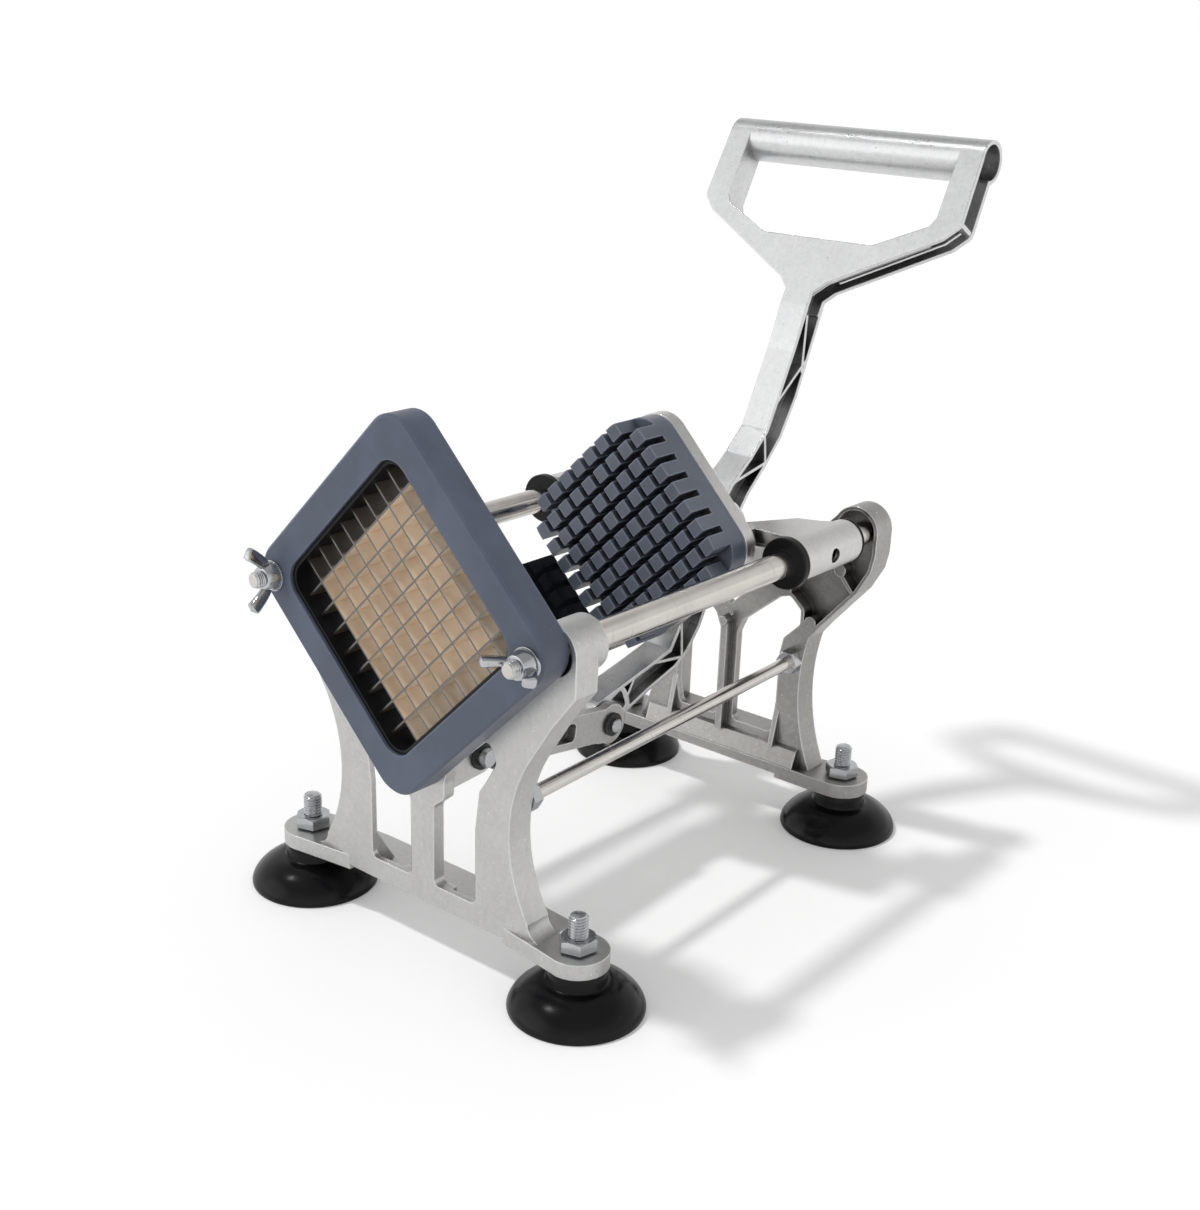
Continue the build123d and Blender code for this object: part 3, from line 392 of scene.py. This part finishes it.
FINISHES = {
    "cast_aluminium": cast_metal(
        "cast_frame", dark=(0.54, 0.536, 0.53), light=(0.62, 0.616, 0.61), rough=0.33,
        recess_shade=(0.12, 0.116, 0.11), reach=12 * MM),
    "polished_rod": turned_metal(
        "polished_rod", (0.72, 0.685, 0.645), rough=0.14, stretch=(60.0, 900.0, 60.0)),
    "zinc_steel": turned_metal(
        "zinc_steel", (0.56, 0.575, 0.59), rough=0.15, stretch=(900.0, 900.0, 400.0)),
    "slate_plastic": moulded_plastic(
        "slate_frame", (0.084, 0.1, 0.142), rubbed_edge_sheen_colour=(0.17, 0.2, 0.27), rough=0.33, specular=0.38),
    "black_plastic": moulded_plastic(
        "black_plastic", (0.006, 0.006, 0.007), rubbed_edge_sheen_colour=(0.03, 0.03, 0.033), rough=0.34,
        specular=0.2),
    "black_gloss": moulded_plastic(
        "black_gloss", (0.005, 0.006, 0.008), rubbed_edge_sheen_colour=(0.03, 0.03, 0.035), rough=0.05),
    "blade_steel": blade_metal(),
    "cup_rubber": cup_rubber(),
    "dark_washer": moulded_plastic(
        "dark_washer", (0.02, 0.02, 0.022), rubbed_edge_sheen_colour=(0.08, 0.08, 0.08), rough=0.4, edge=0.2 * MM),
}
OWN_FINISHES = {
    "lever": cast_metal(
        "cast_lever", dark=(0.64, 0.642, 0.648), light=(0.73, 0.732, 0.738), rough=0.27, grain=1800.0,
        bump=0.22, recess_shade=(0.1, 0.097, 0.093), reach=10 * MM, recess_shade_share=0.85),
    "link": cast_metal(
        "cast_link", dark=(0.5, 0.49, 0.48), light=(0.58, 0.57, 0.555), rough=0.34, grain=1300.0,
        bump=0.35),
    "carriage": cast_metal(
        "cast_carriage", dark=(0.61, 0.6, 0.59), light=(0.69, 0.68, 0.665), rough=0.28, grain=1600.0,
        bump=0.2, reach=10 * MM),
    # Pusher block: strong painted shade in the slots between studs, and stud edges paler by a painted
    # highlight.
    "pusher_block": moulded_plastic(
        "slate_block", (0.108, 0.124, 0.16), rubbed_edge_sheen_colour=(0.22, 0.25, 0.32), rough=0.28,
        rubbed_edge_sheen_share=0.8, reach=6 * MM, recess_shade_share=0.95),
    # Rear frame: a darker base and a far-reaching corner colour, both painted shade.
    "rear_frame": cast_metal(
        "shaded_cast_rear", dark=(0.35, 0.34, 0.325), light=(0.43, 0.42, 0.405), rough=0.32,
        recess_shade=(0.09, 0.086, 0.08), reach=24 * MM, recess_shade_share=0.92),
}


def dress_nodes():
    """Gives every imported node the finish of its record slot, or its own variant of it."""
    for part in frame["record"]["subparts"]:
        finish = OWN_FINISHES.get(part["node"], FINISHES[part["material_slot"]])
        for place in NODES[part["node"]].material_slots:
            place.material = finish


# ---------------------------------------------------------------- new pieces as surfaces
SHARP_ANGLE = 35.0  # an edge that turns by more stays sharp


def capped_grid(rings):
    """Vertices and faces of a closed skin: the first and last ring shrink to single poles.
    rings is an array (rows, sides, 3); rows run from one pole to the other, sides go round."""
    rows, sides = rings.shape[:2]
    points = np.vstack([rings[0].mean(axis=0), rings[1:-1].reshape(-1, 3), rings[-1].mean(axis=0)])
    here = 1 + np.arange(sides)
    beside = 1 + (np.arange(sides) + 1) % sides
    last = (rows - 3) * sides
    low = np.stack([np.zeros(sides, int), beside, here], axis=1)
    high = np.stack([np.full(sides, len(points) - 1), here + last, beside + last], axis=1)
    step = np.arange(rows - 3)[:, None] * sides
    quads = np.stack([here + step, beside + step, beside + step + sides, here + step + sides], axis=-1)
    return points, quads.reshape(-1, 4), np.vstack([low, high])


def joined(shells):
    """Several closed skins as one set of points, quads and triangles."""
    points, quads, triangles, count = [], [], [], 0
    for some_points, some_quads, some_triangles in shells:
        points.append(some_points)
        quads.append(some_quads + count)
        triangles.append(some_triangles + count)
        count += len(some_points)
    return np.vstack(points), np.vstack(quads), np.vstack(triangles)


def moved(shell, turn=None, place=(0, 0, 0)):
    """A skin turned by a 3 x 3 matrix and set down at a place, all in millimetres."""
    points, quads, triangles = shell
    if turn is not None:
        points = points @ np.array(turn).T
    return points + np.array(place, float), quads, triangles


def make_piece(name, shell, body, material, replaces=None):
    """Puts a skin into a mesh, in metres, smooth but for its sharp edges, and gives it to the frame."""
    points, quads, triangles = shell
    mesh = bpy.data.meshes.new(name)
    mesh.from_pydata(points * MM, [], quads.tolist() + triangles.tolist())
    mesh.polygons.foreach_set("use_smooth", np.ones(len(mesh.polygons), bool))
    mesh.set_sharp_from_angle(angle=math.radians(SHARP_ANGLE))
    mesh.materials.append(material)
    piece = bpy.data.objects.new(name, mesh)
    bpy.context.scene.collection.objects.link(piece)
    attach(piece, body)
    if replaces:
        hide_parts(replaces)


def angles_round(sides):
    """Equal steps round a full turn, in radians, without its end."""
    return np.linspace(0, 2 * np.pi, sides, endpoint=False)


def circles(radius, height, angle):
    """Rings about the Z axis: radius r, height z and angle a give the point (r cos a, r sin a, z)."""
    return np.stack([radius * np.cos(angle), radius * np.sin(angle), height + 0 * angle], axis=-1)


def revolved(profile, sides):
    """A profile of (radius, height) carried round the Z axis; its ends lie on the axis."""
    profile = np.array(profile, float)
    return capped_grid(circles(profile[:, :1], profile[:, 1:], angles_round(sides)))


def prism(near, far):
    """A closed block between two matching outlines, capped by a fan round the middle of each."""
    near_middle, far_middle = [np.tile(end.mean(axis=0), (len(end), 1)) for end in (near, far)]
    return capped_grid(np.stack([near_middle, near, far, far_middle]))


def turn_about_z(degrees):
    """The matrix that turns X towards Y by an angle."""
    c, s = math.cos(math.radians(degrees)), math.sin(math.radians(degrees))
    return np.array([[c, -s, 0], [s, c, 0], [0, 0, 1]])


TO_THE_FRONT = np.array([[1, 0, 0], [0, 0, -1], [0, 1, 0]])  # what points up along Z points to -Y

# ---------------------------------------------------------------- cups
FOOT_SPOTS = {
    "front_left": (-75.0, -125.1),
    "front_right": (75.0, -125.1),
    "rear_left": (-64.4, 77.5),
    "rear_right": (64.4, 77.5),
}
# The cup's section, as points of radius and height from the axis round to the axis again.
CUP_HOLLOW = [(0, 5.0), (5.0, 5.0), (9.0, 4.7), (13.0, 4.2), (16.5, 3.5), (20.0, 2.5), (23.0, 1.2),
              (25.0, 0.25)]
CUP_LIP = [(25.6, 0.0), (26.5, 0.0), (26.85, 0.3), (27.0, 0.9)]
DOME_FOOT = (27.0, 1.5)
DOME_TOP = (13.2, 12.6)
DOME_POWER = 1.25
DOME_ROWS = 22
CUP_NECK = [(12.6, 12.75), (12.1, 13.1), (11.95, 13.8), (11.9, 16.0), (11.9, 18.7), (11.6, 19.15),
            (10.8, 19.2)]
STUD_HOLE = [(3.95, 19.2), (3.92, 18.8), (3.92, 11.2), (3.9, 11.0), (0, 11.0)]
CUP_SIDES = 96


def cup_profile():
    """Shallow hollow, thin lip, domed back, crease, neck and stud hole. The back runs from its foot to
    its top as the cosine and the sine of a quarter turn, both to a power that flattens it a little."""
    t = np.linspace(0, np.pi / 2, DOME_ROWS)[:, None]
    out_and_up = np.hstack([1 - np.cos(t) ** DOME_POWER, np.sin(t) ** DOME_POWER])
    dome = DOME_FOOT + out_and_up * np.subtract(DOME_TOP, DOME_FOOT)
    return np.vstack([CUP_HOLLOW, CUP_LIP, dome, CUP_NECK, STUD_HOLE])


def make_cups():
    """One soft cup, set under each of the four feet."""
    cup = revolved(cup_profile(), CUP_SIDES)
    for name, (x, y) in FOOT_SPOTS.items():
        make_piece("sucker_" + name, moved(cup, place=(x, y, 0)), "base",
                   FINISHES["cup_rubber"], "suction_cup_" + name)


# ---------------------------------------------------------------- threads
FOOT_TURNS = {"front_left": 12.0, "front_right": 0.0, "rear_left": 200.0, "rear_right": 75.0}
ROD_SIDE, ROD_HEIGHT = 66.7, 146.0  # both guide rods lie this far out and this high
ROD_THREAD_Y, ROD_TIP_Y = -150.0, -157.25
FOOT_STUD = dict(crest=3.9, depth=0.55, pitch=1.25, low=11.0, start=30.0, high=41.0)
ROD_END = dict(crest=3.32, depth=0.4, pitch=0.9, low=0.0, start=1.0, high=ROD_THREAD_Y - ROD_TIP_Y)
THREAD_SIDES = 40
ROWS_PER_TURN = 10
THREAD_FLANK, THREAD_FLAT = 1.35, 0.1  # how steep the V's flanks are, and what the flat crest takes
ROOT_CHAMFER = 0.2
RUN_IN = 0.3
TIP_RADIUS, TIP_LENGTH = 0.76, 2.2  # shares of the crest's radius and of the thread's depth


def thread_shell(crest, depth, pitch, low, start, high):
    """A screw along Z from low to high: plain up to start, then a helical thread, then a domed tip.
    The radius falls from the crest by a V whose phase is height / pitch less angle / full turn."""
    rows = int((high - start) / pitch * ROWS_PER_TURN)
    height = np.concatenate([[low, low, low + ROOT_CHAMFER, start - RUN_IN],
                             np.linspace(start, high, rows), [high]])[:, None]
    angle = angles_round(THREAD_SIDES)
    phase = (height / pitch - angle / (2 * np.pi)) % 1.0
    groove = np.clip(THREAD_FLANK * (1 - np.abs(2 * phase - 1)) - THREAD_FLAT, 0, 1)
    fade = np.clip((height - start) / pitch, 0, 1)
    tip = np.clip((high - height) / (TIP_LENGTH * depth), 0, 1)
    radius = (crest - depth * groove * fade) * (TIP_RADIUS + (1 - TIP_RADIUS) * np.sqrt(tip))
    radius[[0, -1]] = 0
    radius[1] -= ROOT_CHAMFER
    return capped_grid(circles(radius, height, angle))


def make_threads():
    """Foot studs, and a cut thread round the front ends of both guide rods."""
    stud = thread_shell(**FOOT_STUD)
    studs = [moved(stud, turn_about_z(FOOT_TURNS[name]), (x, y, 0)) for name, (x, y) in FOOT_SPOTS.items()]
    make_piece("threaded_foot_studs", joined(studs), "base", FINISHES["zinc_steel"],
               "foot_studs")
    end = thread_shell(**ROD_END)
    ends = [moved(end, TO_THE_FRONT, (x, ROD_THREAD_Y, ROD_HEIGHT)) for x in (-ROD_SIDE, ROD_SIDE)]
    make_piece("rod_end_threads", joined(ends), "base", FINISHES["zinc_steel"])


# ---------------------------------------------------------------- wing nuts
NUT_SEAT_Y = -148.0
NUT_SPOTS = {"left": (-ROD_SIDE, 93.0), "right": (ROD_SIDE, -5.0)}  # place along X, and turn
HUB_PROFILE = [(0, 0.02), (5.2, 0.02), (5.6, 0.4), (5.6, 1.2), (5.3, 2.2), (4.8, 4.6), (4.5, 5.2),
               (4.0, 5.4), (0, 5.4)]
HUB_SIDES = 48
WING_ROWS, WING_SIDES = 15, 20
WING_ROUNDING = 0.6  # 1 gives an oval section, less a fuller one
WING_ROOT, WING_TIP = (3.9, 2.6), (11.8, 11.3)  # out from the hub's axis, and forward from its seat
WING_BEND = (1.05, 1.4)  # the powers of t that out and forward follow
ROOT_HALVES, TIP_GAIN = (2.1, 1.4), 0.7  # half width and half thickness, and what both gain by the tip
END_POWER = 10


def lofted(path, across, thick, half_width, half_thick):
    """A wing: rounded-oblong sections carried along a path. Section point at angle a is
    path + across * half_width * c + thick * half_thick * s, c and s being cos a and sin a to a power."""
    angle = angles_round(WING_SIDES)
    c, s = [np.sign(f) * np.abs(f) ** WING_ROUNDING for f in (np.cos(angle), np.sin(angle))]
    rings = (path[:, None] + across[:, None] * (half_width[:, None] * c)[..., None]
             + thick * (half_thick[:, None] * s)[..., None])
    return capped_grid(rings)


def wing_shell(way):
    """One wing, leaning out and forward from the hub; its tip is rounded and thickened. From root to
    tip, t goes from 0 to 1. Out and forward follow powers of t, the width grows with t and the
    thickness with its square, and both ends close as the root of 1 - (2 t - 1) to an even power."""
    t = np.linspace(0, 1, WING_ROWS)
    out, forward = [root + (tip - root) * t ** power
                    for root, tip, power in zip(WING_ROOT, WING_TIP, WING_BEND)]
    path = np.stack([way * out, 0 * t, forward], axis=1)
    run = np.gradient(path, axis=0)
    run /= np.linalg.norm(run, axis=1)[:, None]
    across = np.cross(run, (0, 1, 0)) * way
    ends = np.sqrt(np.clip(1 - (2 * t - 1) ** END_POWER, 0, 1))
    width = (ROOT_HALVES[0] + TIP_GAIN * t) * ends
    thick = (ROOT_HALVES[1] + TIP_GAIN * t ** 2) * ends
    return lofted(path, across, np.array((0, way, 0)), width, thick)


def make_wing_nuts():
    """Bright cast wing nuts: a coned hub with two swept wings each."""
    nut = joined([revolved(HUB_PROFILE, HUB_SIDES), wing_shell(1), wing_shell(-1)])
    for name, (x, turn) in NUT_SPOTS.items():
        shell = moved(nut, TO_THE_FRONT @ turn_about_z(turn), (x, NUT_SEAT_Y, ROD_HEIGHT))
        make_piece("wing_nut_smooth_" + name, shell, "base", FINISHES["zinc_steel"],
                   "wing_nut_" + name)


# ---------------------------------------------------------------- trim on the lever
FAIRING_FRONT = [(95.47, 211.0), (96.66, 214.0), (104.32, 233.0), (105.35, 234.75), (110.4, 243.4)]
FAIRING_BACK = (1.3, -0.6)  # from its front to its back, along Y and Z
FAIRING_HALF_WIDTH = 6.97
HANDLE_FOOT = (0.0, 108.2, 240.0)
HANDLE_TILT = math.radians(28.6)
HANDLE_AXES = np.array([[1, 0, 0], [0, math.sin(HANDLE_TILT), math.cos(HANDLE_TILT)],
                        [0, math.cos(HANDLE_TILT), -math.sin(HANDLE_TILT)]])  # across, up, into its depth
CORNER_WEB = [(62.0, 38.2), (62.0, 40.0), (68.5, 40.0), (68.2, 38.4)]
LOWER_FIN = [(15.2, 8.7), (60.3, 33.0), (61.43, 30.87), (16.4, 6.5)]
CORNER_FIN = [(60.3, 33.0), (65.4, 38.2), (67.0, 36.6), (61.43, 30.87)]
WEB_DEPTHS, FIN_DEPTHS = (2.0, 12.0), (5.2, 6.3)


def make_shank_fairing():
    """A wedge that runs the handle's front face out over the shank: straight from inside the shank up
    to a hair proud of the handle, then slowly sunk; its back lies inside the casting's flange."""
    front = np.array(FAIRING_FRONT)
    outline = np.vstack([front, (front + FAIRING_BACK)[::-1]])
    ends = [np.column_stack([np.full(len(outline), x), outline])
            for x in (-FAIRING_HALF_WIDTH, FAIRING_HALF_WIDTH)]
    make_piece("shank_fairing", prism(*ends), "lever", OWN_FINISHES["lever"])


def make_handle_ribs():
    """Flat ribs inside the channel round the handle, each an outline in the handle's plane carried from
    a near to a far depth: a web across the channel at each lower corner, and a fin flush with its rim."""
    shells = []
    for outline, depths in ((CORNER_WEB, WEB_DEPTHS), (LOWER_FIN, FIN_DEPTHS), (CORNER_FIN, FIN_DEPTHS)):
        for side in (1, -1):
            flat = np.array(outline)[::side] * (side, 1)
            ends = [np.column_stack([flat, np.full(len(flat), depth)]) for depth in depths]
            shells.append(moved(prism(*ends), HANDLE_AXES.T, HANDLE_FOOT))
    make_piece("handle_inner_ribs", joined(shells), "lever", OWN_FINISHES["lever"])


# ---------------------------------------------------------------- light and floor
SUN_ENERGY = 1.35
GLINT_ENERGY = 0.2
SUN_FROM = (-0.66, -0.42, 1.47)
SUN_ANGLE = 5.0
WALL_GLOW, UPPER_WALL_GLOW, CEILING_LOSS = 1.0, 0.78, -0.34
WINDOW_TOWARDS = (-0.57, -0.72, 0.36)
WINDOW_GLOW = 0.55
FLOOR_RADIUS, FLOOR_SIDES = 150.0, 64
FLOOR_COLOUR = (0.93, 0.93, 0.93, 1)
FLOOR_ROUGHNESS = 0.7
FLOOR_GLOW = 0.12


def make_lights():
    """One high window as two lamps: its daylight, and the weaker glint of its panes in glossy skins."""
    for name, energy in (("daylight", SUN_ENERGY), ("glint", GLINT_ENERGY)):
        lamp = bpy.data.lights.new(name, "SUN")
        lamp.energy = energy
        lamp.angle = math.radians(SUN_ANGLE)
        light = bpy.data.objects.new(name, lamp)
        light.rotation_euler = Vector(SUN_FROM).to_track_quat("Z", "Y").to_euler()
        light.visible_glossy = name == "glint"
        light.visible_diffuse = name == "daylight"
        bpy.context.scene.collection.objects.link(light)


def make_world():
    """A studio round the object: white walls at floor level, greyer towards the ceiling, and a broad
    bright window in front to the left, so that metal has something to mirror."""
    world = bpy.data.worlds.new("studio")
    world.use_nodes = True
    bpy.context.scene.world = world
    t = Tree(world.node_tree)
    way = t.add("ShaderNodeTexCoord").outputs["Generated"]
    height = t.dot(way, (0.0, 0.0, 1.0))
    wall = t.plus(t.ramp(height, low=0.1, high=0.34, to_low=WALL_GLOW, to_high=UPPER_WALL_GLOW),
                  t.ramp(height, low=0.5, high=0.78, to_high=CEILING_LOSS))
    facing = t.dot(way, tuple(Vector(WINDOW_TOWARDS).normalized()))
    strength = t.plus(wall, t.ramp(facing, low=0.85, high=0.96, to_high=WINDOW_GLOW))
    background = world.node_tree.nodes["Background"]
    background.inputs["Color"].default_value = WHITE
    t.link(strength, background.inputs["Strength"])


def make_floor():
    """A very wide round floor, so that its edge is at eye level from every side."""
    rim = circles(FLOOR_RADIUS, 0, angles_round(FLOOR_SIDES))
    mesh = bpy.data.meshes.new("floor")
    mesh.from_pydata(rim.tolist(), [], [tuple(range(FLOOR_SIDES))])
    floor = bpy.data.objects.new("floor", mesh)
    bpy.context.scene.collection.objects.link(floor)
    material, t, surface, _ = new_finish("pale_floor", 0.0)
    surface.inputs["Base Color"].default_value = FLOOR_COLOUR
    surface.inputs["Roughness"].default_value = FLOOR_ROUGHNESS
    surface.inputs["Emission Color"].default_value = WHITE
    seen = t.add("ShaderNodeLightPath").outputs["Is Camera Ray"]
    t.link(t.times(seen, FLOOR_GLOW), surface.inputs["Emission Strength"])
    mesh.materials.append(material)


make_camera()
dress_nodes()
make_cups()
make_threads()
make_wing_nuts()
make_shank_fairing()
make_handle_ribs()
make_lights()
make_world()
make_floor()
bpy.context.scene.view_settings.view_transform = "Standard"
